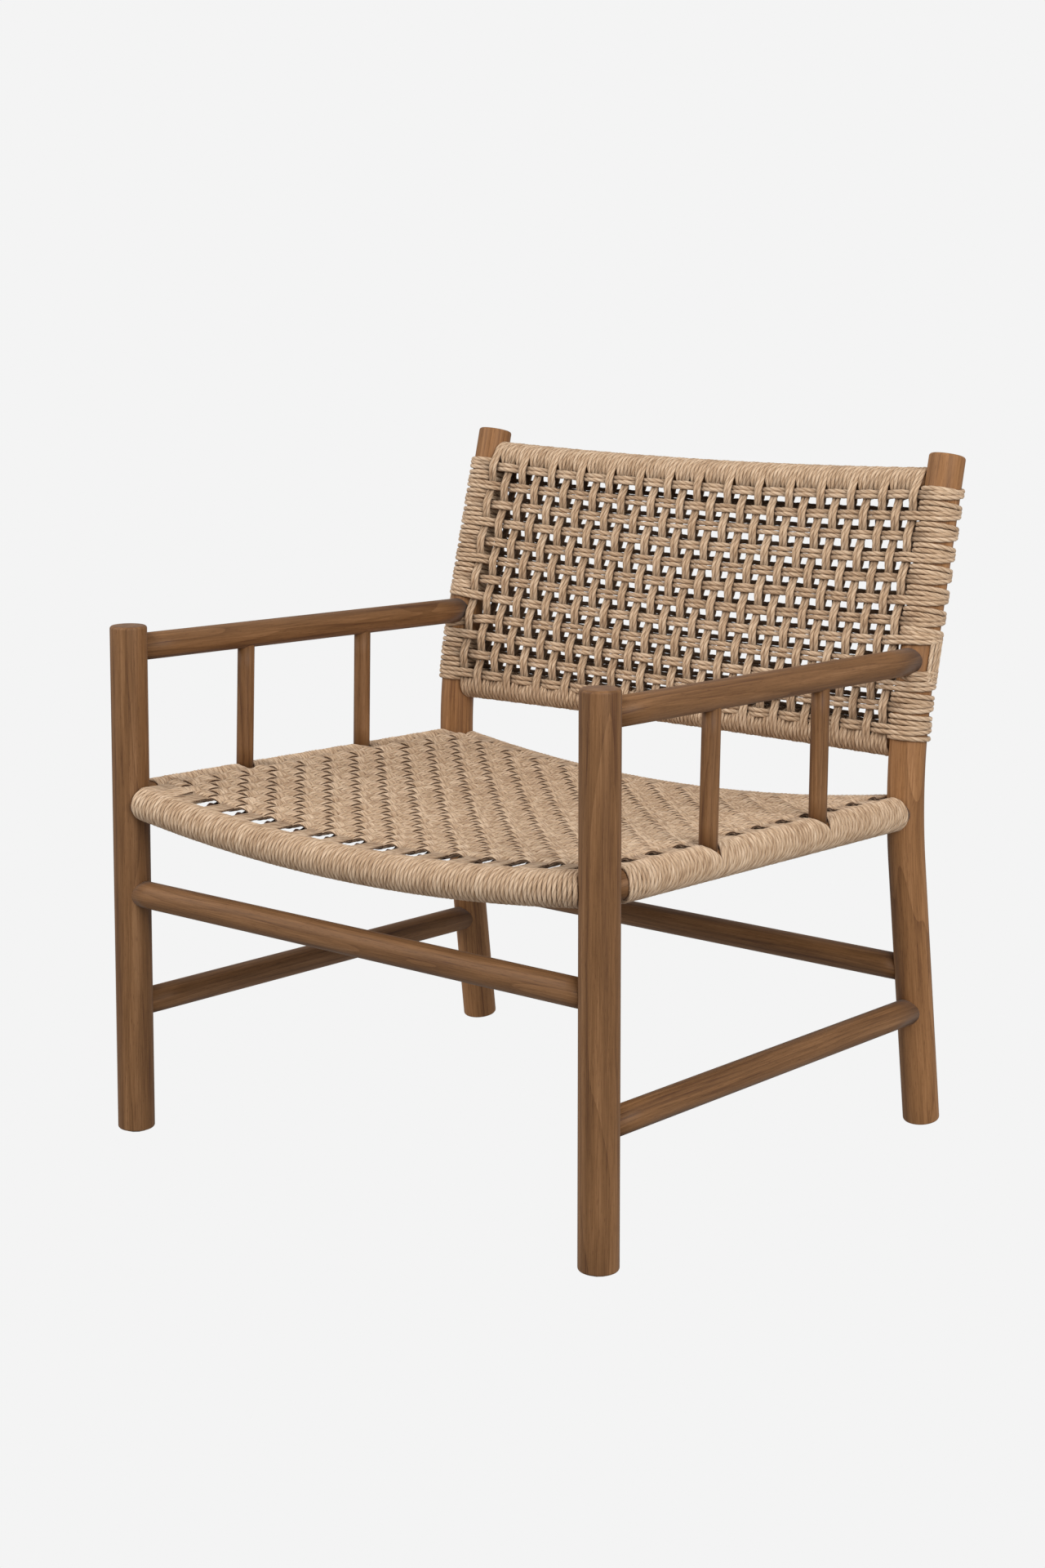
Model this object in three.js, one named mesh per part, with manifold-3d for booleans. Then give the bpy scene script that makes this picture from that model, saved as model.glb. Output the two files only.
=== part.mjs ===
// A low wooden armchair with a woven cord seat and back.
// Millimetres, +Z up, front towards -Y, origin on the floor under the middle of the chair.
// Every wooden piece is a round rod: its ends are hollowed to fit the leg and carry a round
// tenon that sits in a blind mortise. The woven cord is made of plain solids, one for each
// wound rail or post and one for each woven surface.

import * as THREE from "three";
import { mergeVertices } from "three/addons/utils/BufferGeometryUtils.js";
import Module from "manifold-3d";

const wasm = await Module();
wasm.setup();

// ---------- driving dimensions ----------
const GAP = 0.3; // between pieces that touch
const LEG_SPACING = 710; // left to right, between leg axes
const LEG_R = 22;
const FRONT_LEG_TOP = 612.5;
const LEG_TOP_CHAMFER = 4;
const LEG_FOOT_CHAMFER = 2;
const GLIDE_T = 2.5; // how far a foot glide stands below the wood
const GLIDE_R = 15;
const GLIDE_STEM_R = 3;
const GLIDE_STEM_LENGTH = 16;

// Side view of a back leg: two straight stretches joined by a parabolic bend.
const BACK_FOOT_Y = 634; // all Y values are counted from the front legs' axes
const BEND_Y = 576;
const BEND_Z = 445.5;
const BEND_HALF_HEIGHT = 118;
const BACK_TOP_Y = 668.7;
const BACK_TOP_Z = 809.5;

const RAIL_R = 16;
const SEAT_RAIL_FRONT_Z = 404.5; // side rails, at the front legs' axes
const SEAT_RAIL_BACK_Z = 390.5; // side rails, at the back legs' axes
const FRONT_RAIL_SAG = 26;
const BACK_RAIL_SAG = 30;

const TOP_RAIL_Z = 775;
const TOP_RAIL_SAG = 9;
const TOP_RAIL_BOW = 16; // backwards, at mid span
const BOTTOM_RAIL_Z = 473.5;
const BOTTOM_RAIL_SAG = 1;
const BOTTOM_RAIL_BOW = 18;

const FRONT_STRETCHER_Z = 291.5;
const SIDE_STRETCHER_FRONT_Z = 154;
const SIDE_STRETCHER_BACK_Z = 144;
const BACK_STRETCHER_Z = 193;

const ARM_R = 16.3;
const ARM_FRONT_Z = 585.3;
const ARM_BACK_Z = 570;
const SPINDLE_R = 10.5;
const SPINDLES = [
  { name: "front", armY: 193, railY: 187 },
  { name: "rear", armY: 402, railY: 398 },
];

const TENON_R = 8;
const SPINDLE_TENON_R = 5;
const SEAT_TENON_END = 10; // short, because two seat rails meet in each leg
const DEEP_TENON_END = 2; // distance from the leg's axis to the end of any other tenon

const CORD_T = 4.5; // thickness of one layer of wound cord
const RAIL_WRAP_R = RAIL_R + CORD_T;
const SIDE_WRAP_START_Y = 33;
const POST_WRAP_BOTTOM_Z = 482.5;
const POST_WRAP_TOP_Z = 762.5;
const ARM_NOTCH_R = ARM_R + 3;
const SEAT_WEB_T = 9;
const BACK_WEB_T = 9;
const REAR_RUN_T = 6;

const LEG_SIDES = 20;
const ROD_SIDES = 16;
const SPINDLE_SIDES = 12;
const RAIL_STEPS = 6;
const BEND_STEPS = 18;
const WEB_COLUMNS = 10;

const HALF = LEG_SPACING / 2;
const SIDES = [
  { name: "left", x: -HALF },
  { name: "right", x: HALF },
];

// ---------- solids ----------
function toSolid(geometry) {
  const bare = geometry.clone();
  bare.deleteAttribute("normal");
  bare.deleteAttribute("uv");
  const merged = mergeVertices(bare, 1e-3);
  return new wasm.Manifold(
    new wasm.Mesh({
      numProp: 3,
      vertProperties: new Float32Array(merged.attributes.position.array),
      triVerts: new Uint32Array(merged.index.array),
    }),
  );
}

function toGeometry(solid) {
  const mesh = solid.getMesh();
  const geometry = new THREE.BufferGeometry();
  geometry.setAttribute("position", new THREE.BufferAttribute(mesh.vertProperties, 3));
  geometry.setIndex(new THREE.BufferAttribute(mesh.triVerts, 1));
  geometry.computeVertexNormals();
  return geometry;
}

const cut = (solid, ...tools) => tools.reduce((body, tool) => body.subtract(tool), solid);
const join = (solid, ...others) => others.reduce((body, other) => body.add(other), solid);

const point = (x, y, z) => new THREE.Vector3(x, y, z);
const along = (from, direction, distance) => from.clone().addScaledVector(direction, distance);
const heading = (from, to) => to.clone().sub(from).normalize();

// A straight round rod from one point to another.
function rod(from, to, radius, sides = ROD_SIDES) {
  const geometry = new THREE.CylinderGeometry(radius, radius, from.distanceTo(to), sides, 1);
  const turn = new THREE.Quaternion().setFromUnitVectors(point(0, 1, 0), heading(from, to));
  geometry.applyQuaternion(turn);
  const middle = from.clone().lerp(to, 0.5);
  geometry.translate(middle.x, middle.y, middle.z);
  return toSolid(geometry);
}

// A round rod of constant radius along a curve.
function bentRod(curve, radius, steps, sides = ROD_SIDES) {
  const outline = [];
  for (let i = 0; i < sides; i++) {
    const angle = ((i + 0.5) * 2 * Math.PI) / sides;
    outline.push(new THREE.Vector2(radius * Math.cos(angle), radius * Math.sin(angle)));
  }
  const shape = new THREE.Shape(outline);
  return toSolid(
    new THREE.ExtrudeGeometry(shape, { extrudePath: curve, steps, bevelEnabled: false }),
  );
}

// A block between two corners.
function block(low, high) {
  const size = high.clone().sub(low);
  const middle = low.clone().lerp(high, 0.5);
  const geometry = new THREE.BoxGeometry(size.x, size.y, size.z);
  geometry.translate(middle.x, middle.y, middle.z);
  return toSolid(geometry);
}

// A solid of revolution about +Z from [radius, height] pairs that start and end on the axis.
function turned(profile, sides = LEG_SIDES) {
  const outline = profile.map(([radius, height]) => new THREE.Vector2(radius, height));
  const geometry = new THREE.LatheGeometry(outline, sides);
  geometry.rotateX(Math.PI / 2);
  return toSolid(geometry);
}

// ---------- centre lines ----------
// Y of a back leg's axis at a height.
function backLegY(z) {
  const lowZ = BEND_Z - BEND_HALF_HEIGHT;
  const highZ = BEND_Z + BEND_HALF_HEIGHT;
  const lowSlope = (BEND_Y - BACK_FOOT_Y) / BEND_Z;
  const highSlope = (BACK_TOP_Y - BEND_Y) / (BACK_TOP_Z - BEND_Z);
  if (z <= lowZ) return BEND_Y + lowSlope * (z - BEND_Z);
  if (z >= highZ) return BEND_Y + highSlope * (z - BEND_Z);
  const rise = z - lowZ;
  const bend = (highSlope - lowSlope) / (4 * BEND_HALF_HEIGHT);
  return BEND_Y + lowSlope * (z - BEND_Z) + bend * rise * rise;
}

// A stretch of a back leg's axis as a curve.
function backLegLine(x, fromZ, toZ, pieces) {
  const points = [];
  for (let i = 0; i <= pieces; i++) {
    const z = fromZ + ((toZ - fromZ) * i) / pieces;
    points.push(point(x, backLegY(z), z));
  }
  return new THREE.CatmullRomCurve3(points);
}

// A cross rail's axis between the left and right legs: a parabola that hangs by sag and
// bows backwards by bow at mid span.
function crossRailLine(y, z, sag, bow) {
  return new THREE.QuadraticBezierCurve3(
    point(-HALF, y, z),
    point(0, y + 2 * bow, z - 2 * sag),
    point(HALF, y, z),
  );
}

const middleDip = (x) => 1 - (x / HALF) ** 2; // 0 at the legs, 1 at mid span

// ---------- legs ----------
const BACK_LEG_BELOW = -30; // the bent rod starts under the floor and is cut level
const BACK_LEG_LINE_STEPS = 24;

function frontLegBlank(x, extra) {
  const r = LEG_R + extra;
  const top = FRONT_LEG_TOP + extra;
  const solid = turned([
    [0, GLIDE_T],
    [r - LEG_FOOT_CHAMFER, GLIDE_T],
    [r, GLIDE_T + LEG_FOOT_CHAMFER],
    [r, top - LEG_TOP_CHAMFER],
    [r - 0.3 * LEG_TOP_CHAMFER, top - 0.3 * LEG_TOP_CHAMFER],
    [r - LEG_TOP_CHAMFER, top],
    [0, top],
  ]);
  return solid.translate([x, 0, 0]);
}

function backLegBlank(x, extra) {
  const line = backLegLine(x, BACK_LEG_BELOW, BACK_TOP_Z, BACK_LEG_LINE_STEPS);
  const solid = bentRod(line, LEG_R + extra, BEND_STEPS, LEG_SIDES);
  const floorBlock = block(point(x - 60, 500, -120), point(x + 60, 760, GLIDE_T));
  return cut(solid, floorBlock);
}

// A ring that takes the sharp edge off the top of a back leg.
function topEdgeRing(x) {
  const r = LEG_R;
  const c = LEG_TOP_CHAMFER;
  const outline = [
    new THREE.Vector2(r - c, 0),
    new THREE.Vector2(r - 0.3 * c, -0.3 * c),
    new THREE.Vector2(r + 1, -c - 1),
    new THREE.Vector2(r + 4, -c - 1),
    new THREE.Vector2(r + 4, 3),
    new THREE.Vector2(r - c, 3),
    new THREE.Vector2(r - c, 0),
  ];
  const geometry = new THREE.LatheGeometry(outline, LEG_SIDES);
  const axis = heading(
    point(0, backLegY(BACK_TOP_Z - 50), BACK_TOP_Z - 50),
    point(0, BACK_TOP_Y, BACK_TOP_Z),
  );
  geometry.applyQuaternion(new THREE.Quaternion().setFromUnitVectors(point(0, 1, 0), axis));
  geometry.translate(x, BACK_TOP_Y, BACK_TOP_Z);
  return toSolid(geometry);
}

// ---------- joints ----------
// A joint is where a rod meets a leg: leg is a point on the leg's axis, out points from it
// along the rod, and end is how far from the leg's axis the tenon stops.
function tenon(joint) {
  return rod(
    along(joint.leg, joint.out, joint.end),
    along(joint.leg, joint.out, LEG_R + 12),
    TENON_R,
  );
}

function mortise(joint) {
  return rod(
    along(joint.leg, joint.out, joint.end - 2 * GAP),
    along(joint.leg, joint.out, LEG_R + 12),
    TENON_R + GAP,
  );
}

function joinedRod(body, joints, clearances) {
  const shouldered = cut(body, ...clearances);
  return join(shouldered, ...joints.map(tenon));
}

const clearance = {};
const mortises = {};
for (const { name, x } of SIDES) {
  clearance["front_" + name] = frontLegBlank(x, GAP);
  clearance["back_" + name] = backLegBlank(x, GAP);
  mortises["front_" + name] = [];
  mortises["back_" + name] = [];
}

// A straight rod between two legs, with its mortises noted on them. Its ends also keep clear
// of any neighbours that meet the same leg.
function straightRail(fromLeg, from, toLeg, to, radius, end, neighbours = []) {
  const joints = [
    { leg: from, out: heading(from, to), end },
    { leg: to, out: heading(to, from), end },
  ];
  mortises[fromLeg].push(mortise(joints[0]));
  mortises[toLeg].push(mortise(joints[1]));
  const clearances = [clearance[fromLeg], clearance[toLeg], ...neighbours];
  return joinedRod(rod(from, to, radius), joints, clearances);
}

// A bent cross rail between the left and right legs of a pair.
function crossRail(pair, line, end) {
  const joints = [
    { leg: line.getPoint(0), out: line.getTangent(0), end },
    { leg: line.getPoint(1), out: line.getTangent(1).negate(), end },
  ];
  mortises[pair + "_left"].push(mortise(joints[0]));
  mortises[pair + "_right"].push(mortise(joints[1]));
  const body = bentRod(line, RAIL_R, RAIL_STEPS);
  return joinedRod(body, joints, [clearance[pair + "_left"], clearance[pair + "_right"]]);
}

// ---------- materials ----------
const wood = new THREE.MeshStandardMaterial({ color: 0x8a6440, roughness: 0.6, metalness: 0 });
const cord = new THREE.MeshStandardMaterial({ color: 0xc3a884, roughness: 0.95, metalness: 0 });
const plastic = new THREE.MeshStandardMaterial({ color: 0x3a332c, roughness: 0.5, metalness: 0 });

const chair = new THREE.Group();

function place(name, solid, material) {
  const mesh = new THREE.Mesh(toGeometry(solid), material.clone());
  mesh.name = name;
  chair.add(mesh);
}

// ---------- seat frame ----------
const frontLine = crossRailLine(0, SEAT_RAIL_FRONT_Z, FRONT_RAIL_SAG, 0);
const backLine = crossRailLine(backLegY(SEAT_RAIL_BACK_Z), SEAT_RAIL_BACK_Z, BACK_RAIL_SAG, 0);
place("front_seat_rail", crossRail("front", frontLine, SEAT_TENON_END), wood);
place("back_seat_rail", crossRail("back", backLine, SEAT_TENON_END), wood);

const sideRailZ = (y) => {
  const share = y / backLegY(SEAT_RAIL_BACK_Z);
  return SEAT_RAIL_FRONT_Z + (SEAT_RAIL_BACK_Z - SEAT_RAIL_FRONT_Z) * share;
};
const armZ = (y) => ARM_FRONT_Z + ((ARM_BACK_Z - ARM_FRONT_Z) * y) / backLegY(ARM_BACK_Z);

function betweenLegs(name, x, frontZ, backZ, radius, end, neighbours) {
  const from = point(x, 0, frontZ);
  const to = point(x, backLegY(backZ), backZ);
  return straightRail("front_" + name, from, "back_" + name, to, radius, end, neighbours);
}

// ---------- arms, spindles, side rails, stretchers ----------
function spindle(x, { armY, railY }) {
  const top = point(x, armY, armZ(armY));
  const foot = point(x, railY, sideRailZ(railY));
  const body = rod(foot, top, SPINDLE_R, SPINDLE_SIDES);
  const armCut = rod(point(x, 0, armZ(0)), point(x, 500, armZ(500)), ARM_R + GAP);
  const railCut = rod(point(x, 0, sideRailZ(0)), point(x, 500, sideRailZ(500)), RAIL_R + GAP);
  const up = heading(foot, top);
  const topTenon = rod(along(top, up, -ARM_R - 4), along(top, up, -5), SPINDLE_TENON_R, SPINDLE_SIDES);
  const footTenon = rod(along(foot, up, 5), along(foot, up, RAIL_R + 4), SPINDLE_TENON_R, SPINDLE_SIDES);
  return join(cut(body, armCut, railCut), topTenon, footTenon);
}

// The two bores that a spindle's tenons need, in the arm and in the side rail.
function spindleBores(x, { armY, railY }) {
  const top = point(x, armY, armZ(armY));
  const foot = point(x, railY, sideRailZ(railY));
  const up = heading(foot, top);
  const radius = SPINDLE_TENON_R + GAP;
  return {
    arm: rod(along(top, up, -ARM_R - 6), along(top, up, -5 + 2 * GAP), radius, SPINDLE_SIDES),
    rail: rod(along(foot, up, 5 - 2 * GAP), along(foot, up, RAIL_R + 6), radius, SPINDLE_SIDES),
    wrap: rod(foot, along(foot, up, 40), SPINDLE_R + 2 * GAP, SPINDLE_SIDES),
  };
}

const crossRailRoom = [frontLine, backLine].map((line) => bentRod(line, RAIL_R + GAP, RAIL_STEPS));
const spindleWrapCuts = {};
for (const { name, x } of SIDES) {
  const bores = SPINDLES.map((one) => spindleBores(x, one));
  spindleWrapCuts[name] = bores.map((bore) => bore.wrap);

  const seatRail = betweenLegs(
    name, x, SEAT_RAIL_FRONT_Z, SEAT_RAIL_BACK_Z, RAIL_R, SEAT_TENON_END, crossRailRoom,
  );
  place("side_seat_rail_" + name, cut(seatRail, ...bores.map((bore) => bore.rail)), wood);

  const arm = betweenLegs(name, x, ARM_FRONT_Z, ARM_BACK_Z, ARM_R, DEEP_TENON_END);
  place("armrest_" + name, cut(arm, ...bores.map((bore) => bore.arm)), wood);

  for (const one of SPINDLES) {
    place("spindle_" + one.name + "_" + name, spindle(x, one), wood);
  }

  const stretcher = betweenLegs(
    name, x, SIDE_STRETCHER_FRONT_Z, SIDE_STRETCHER_BACK_Z, RAIL_R, DEEP_TENON_END,
  );
  place("side_stretcher_" + name, stretcher, wood);
}

function crossStretcher(pair, y, z) {
  return straightRail(
    pair + "_left", point(-HALF, y, z), pair + "_right", point(HALF, y, z), RAIL_R, DEEP_TENON_END,
  );
}
place("front_stretcher", crossStretcher("front", 0, FRONT_STRETCHER_Z), wood);
place("back_stretcher", crossStretcher("back", backLegY(BACK_STRETCHER_Z), BACK_STRETCHER_Z), wood);

// ---------- back frame ----------
const topLine = crossRailLine(backLegY(TOP_RAIL_Z), TOP_RAIL_Z, TOP_RAIL_SAG, TOP_RAIL_BOW);
const bottomLine = crossRailLine(
  backLegY(BOTTOM_RAIL_Z), BOTTOM_RAIL_Z, BOTTOM_RAIL_SAG, BOTTOM_RAIL_BOW,
);
place("back_top_rail", crossRail("back", topLine, DEEP_TENON_END), wood);
place("back_bottom_rail", crossRail("back", bottomLine, DEEP_TENON_END), wood);

// ---------- legs and foot glides ----------
function glide(x, y) {
  const solid = turned([
    [0, 0],
    [GLIDE_R - 1, 0],
    [GLIDE_R, 1],
    [GLIDE_R, GLIDE_T - GAP],
    [GLIDE_STEM_R, GLIDE_T - GAP],
    [GLIDE_STEM_R, GLIDE_STEM_LENGTH],
    [0, GLIDE_STEM_LENGTH],
  ], SPINDLE_SIDES);
  return solid.translate([x, y, 0]);
}

function glideHole(x, y) {
  const hole = GLIDE_STEM_LENGTH + 2 * GAP;
  return rod(point(x, y, -1), point(x, y, hole), GLIDE_STEM_R + GAP, SPINDLE_SIDES);
}

for (const { name, x } of SIDES) {
  const backFootY = backLegY(GLIDE_T);
  const front = cut(frontLegBlank(x, 0), ...mortises["front_" + name], glideHole(x, 0));
  const backBlank = cut(backLegBlank(x, 0), topEdgeRing(x));
  const back = cut(backBlank, ...mortises["back_" + name], glideHole(x, backFootY));
  place("front_leg_" + name, front, wood);
  place("back_leg_" + name, back, wood);
  place("foot_glide_front_" + name, glide(x, 0), plastic);
  place("foot_glide_back_" + name, glide(x, backFootY), plastic);
}

// ---------- cord wound on the rails and posts ----------
// Each blank makes a rail or post at its own radius plus an extra, so that a winding is the
// difference of two blanks, kept inside a band that gives it its ends.
const crossBlank = (line) => (extra) => bentRod(line, RAIL_R + extra, RAIL_STEPS);
const postBlank = (x) => (extra) => backLegBlank(x, extra);
const sideBlank = (x) => (extra) => {
  const backY = backLegY(SEAT_RAIL_BACK_Z);
  return rod(point(x, 0, sideRailZ(0)), point(x, backY, sideRailZ(backY)), RAIL_R + extra);
};

const winding = (blank, band) => cut(blank(CORD_T), blank(GAP)).intersect(band);

const BAND_R = LEG_R + 20;
const crossEnd = HALF - LEG_R - 1;
const crossBand = block(point(-crossEnd, -100, 0), point(crossEnd, 900, 900));
place("seat_wrap_front", winding(crossBlank(frontLine), crossBand), cord);
place("seat_wrap_back", winding(crossBlank(backLine), crossBand), cord);
place("back_wrap_top", winding(crossBlank(topLine), crossBand), cord);
place("back_wrap_bottom", winding(crossBlank(bottomLine), crossBand), cord);

for (const { name, x } of SIDES) {
  const stopY = backLegY(SEAT_RAIL_BACK_Z) - LEG_R - 3;
  const sideEnds = [SIDE_WRAP_START_Y, stopY].map((y) => point(x, y, sideRailZ(y)));
  const side = winding(sideBlank(x), rod(...sideEnds, BAND_R));
  place("seat_wrap_" + name, cut(side, ...spindleWrapCuts[name]), cord);

  // The post's winding is open at the front, where the arm passes through it, and towards
  // the middle of the chair, where the back rails do.
  const postEnds = [POST_WRAP_BOTTOM_Z, POST_WRAP_TOP_Z].map((z) => point(x, backLegY(z), z));
  const post = winding(postBlank(x), rod(...postEnds, BAND_R));
  const armNotch = rod(
    point(x, backLegY(ARM_BACK_Z), ARM_BACK_Z), point(x, 400, armZ(400)), ARM_NOTCH_R,
  );
  const railNotches = [topLine, bottomLine].map((line) => crossBlank(line)(CORD_T + GAP));
  place("post_wrap_" + name, cut(post, armNotch, ...railNotches), cord);
}

// ---------- woven surfaces ----------
// A slab whose middle layer follows the function that takes each grid point to its place.
function wovenSlab(width, length, thickness, rows, toPlace) {
  const geometry = new THREE.BoxGeometry(width, length, thickness, WEB_COLUMNS, rows, 1);
  const position = geometry.attributes.position;
  for (let i = 0; i < position.count; i++) {
    const from = new THREE.Vector3().fromBufferAttribute(position, i);
    const to = toPlace(from.x, from.y / length + 0.5, from.z);
    position.setXYZ(i, to.x, to.y, to.z);
  }
  return toSolid(geometry);
}

// The room that the woven surfaces leave for the frame and its windings.
const CORD_ROOM = CORD_T + GAP;
const frameRoom = [frontLine, backLine, topLine, bottomLine].map((line) => crossBlank(line)(CORD_ROOM));
for (const { name, x } of SIDES) {
  frameRoom.push(
    sideBlank(x)(CORD_ROOM), postBlank(x)(CORD_ROOM), clearance["front_" + name],
    ...spindleWrapCuts[name],
  );
}

// The seat hangs between the sagging front and back rails, level with the top of the cord.
const seatWeb = wovenSlab(2 * (HALF - 9), 1, SEAT_WEB_T, 3, (x, share, up) => {
  const backY = backLegY(SEAT_RAIL_BACK_Z);
  const frontZ = SEAT_RAIL_FRONT_Z - FRONT_RAIL_SAG * middleDip(x);
  const backZ = SEAT_RAIL_BACK_Z - BACK_RAIL_SAG * middleDip(x);
  const top = frontZ + (backZ - frontZ) * share + RAIL_WRAP_R - 0.5;
  return point(x, 4 + (backY - 8) * share, top - SEAT_WEB_T / 2 + up);
});
place("seat_web", cut(seatWeb, ...frameRoom), cord);

// The back is woven between the fronts of the posts, and its middle bows backwards.
function backSlab(thickness, forward, bowShare) {
  const lowZ = BOTTOM_RAIL_Z + 4;
  const highZ = TOP_RAIL_Z - 4;
  const lowY = backLegY(BOTTOM_RAIL_Z);
  const highY = backLegY(TOP_RAIL_Z);
  const tilt = Math.atan2(highY - lowY, TOP_RAIL_Z - BOTTOM_RAIL_Z);
  return wovenSlab(2 * (HALF - 14), 1, thickness, 4, (x, share, towardsFront) => {
    const bow = bowShare * (BOTTOM_RAIL_BOW + (TOP_RAIL_BOW - BOTTOM_RAIL_BOW) * share);
    const sag = (BOTTOM_RAIL_SAG + (TOP_RAIL_SAG - BOTTOM_RAIL_SAG) * share) * middleDip(x);
    const offset = -towardsFront - forward;
    const y = lowY + (highY - lowY) * share + bow * middleDip(x) + offset * Math.cos(tilt);
    const z = lowZ + (highZ - lowZ) * share - sag - offset * Math.sin(tilt);
    return point(x, y, z);
  });
}
const FRONT_LAYER = RAIL_WRAP_R - BACK_WEB_T / 2 - 0.5;
const REAR_LAYER = LEG_R + CORD_T - REAR_RUN_T / 2 - 0.5;
place("back_web_front", cut(backSlab(BACK_WEB_T, FRONT_LAYER, 1), ...frameRoom), cord);
place("back_web_rear", cut(backSlab(REAR_RUN_T, -REAR_LAYER, 0), ...frameRoom), cord);

// ---------- origin: on the floor, under the middle of the chair's outer box ----------
const outer = new THREE.Box3().setFromObject(chair);
for (const mesh of chair.children) {
  mesh.position.y = -(outer.min.y + outer.max.y) / 2;
}

export default chair;
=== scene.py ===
"""A low wooden armchair with a woven cord seat and back, dressed around its CAD frame.

Every place comes from the boxes of the CAD nodes. Metres, +Z up, front towards -Y.
"""

import math

import bpy
import numpy as np
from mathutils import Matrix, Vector


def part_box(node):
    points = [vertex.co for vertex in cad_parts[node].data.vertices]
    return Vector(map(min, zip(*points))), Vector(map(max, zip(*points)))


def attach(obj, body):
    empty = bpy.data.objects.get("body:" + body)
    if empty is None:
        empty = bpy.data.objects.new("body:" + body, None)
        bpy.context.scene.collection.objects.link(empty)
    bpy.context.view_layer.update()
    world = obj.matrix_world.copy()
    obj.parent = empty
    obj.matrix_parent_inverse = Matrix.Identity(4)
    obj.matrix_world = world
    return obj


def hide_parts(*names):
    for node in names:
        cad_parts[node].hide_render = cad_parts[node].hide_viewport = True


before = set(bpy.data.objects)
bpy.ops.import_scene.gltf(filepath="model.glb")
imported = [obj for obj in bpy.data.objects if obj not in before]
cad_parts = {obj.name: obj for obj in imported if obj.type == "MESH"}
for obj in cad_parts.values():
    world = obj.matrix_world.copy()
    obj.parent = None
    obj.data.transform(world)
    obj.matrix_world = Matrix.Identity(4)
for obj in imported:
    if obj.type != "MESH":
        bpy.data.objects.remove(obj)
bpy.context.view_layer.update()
rng = np.random.default_rng(11)

# ---------- places read from the frame ----------


def low(node):
    return np.array(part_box(node)[0])


def high(node):
    return np.array(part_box(node)[1])


def middle(node):
    return (low(node) + high(node)) / 2


ROD_R = 0.016
ARM_R = 0.0163
SPINDLE_R = 0.0105
PRISM_FLAT = math.cos(math.pi / 16)  # the bent CAD rods have 16 sides, with flats on top

LEG_X, FRONT_Y = middle("front_leg_right")[:2]
LEG_R = (high("front_leg_right") - low("front_leg_right"))[0] / 2
WOOD_BOTTOM = low("front_leg_right")[2]
FRONT_LEG_TOP = high("front_leg_right")[2]

# Side view of a back leg: two straight stretches joined by a parabolic bend.
BACK_FOOT_Y = FRONT_Y + 0.634
BEND_Y = FRONT_Y + 0.576
BEND_Z = 0.4455
BEND_HALF_HEIGHT = 0.118
BACK_TOP_Y = FRONT_Y + 0.6687
BACK_TOP_Z = 0.8095
LOW_SLOPE = (BEND_Y - BACK_FOOT_Y) / BEND_Z
HIGH_SLOPE = (BACK_TOP_Y - BEND_Y) / (BACK_TOP_Z - BEND_Z)


def back_leg_y(z):
    """Y of the back legs' axes at a height."""
    rise = np.clip(z - BEND_Z + BEND_HALF_HEIGHT, 0, 2 * BEND_HALF_HEIGHT)
    bend = (HIGH_SLOPE - LOW_SLOPE) / (4 * BEND_HALF_HEIGHT) * rise**2
    above = np.maximum(z - BEND_Z - BEND_HALF_HEIGHT, 0)
    return BEND_Y + LOW_SLOPE * (z - BEND_Z) + bend + (HIGH_SLOPE - LOW_SLOPE) * above


def dip(x):
    """0 at the legs, 1 at mid span."""
    return 1 - (x / LEG_X) ** 2


class CrossRail:
    """The centre line of a bent rail between the left and right legs, read off its box."""

    def __init__(self, node):
        lo, hi = low(node), high(node)
        reach = ROD_R * PRISM_FLAT
        visible = 1 - dip(LEG_X - LEG_R)
        self.bow = (hi[1] - lo[1] - 2 * reach) / visible
        self.sag = (hi[2] - lo[2] - 2 * reach) / visible
        self.end_y = hi[1] - reach - self.bow
        self.end_z = lo[2] + reach + self.sag

    def y(self, x):
        return self.end_y + self.bow * dip(x)

    def z(self, x):
        return self.end_z - self.sag * dip(x)


class SideRod:
    """The centre line of a straight rod between a front and a back leg, read off its box."""

    def __init__(self, node, radius):
        lo, hi = low(node), high(node)
        self.radius = radius
        fall = hi[2] - lo[2] - 2 * radius
        run = BEND_Y - FRONT_Y - 2 * LEG_R
        self.slope = -fall / run
        self.front_z = hi[2] - radius - self.slope * LEG_R

    def z(self, y):
        return self.front_z + self.slope * (y - FRONT_Y)


front_rail = CrossRail("front_seat_rail")
back_rail = CrossRail("back_seat_rail")
top_rail = CrossRail("back_top_rail")
bottom_rail = CrossRail("back_bottom_rail")
side_rail = SideRod("side_seat_rail_right", ROD_R)
arm = SideRod("armrest_right", ARM_R)
side_stretcher = SideRod("side_stretcher_right", ROD_R)
front_stretcher_z = middle("front_stretcher")[2]
back_stretcher_z = middle("back_stretcher")[2]

SIDES = {"left": -1, "right": 1}

# ---------- meshes ----------


def unit(vectors):
    return vectors / np.linalg.norm(vectors, axis=-1, keepdims=True)


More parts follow.
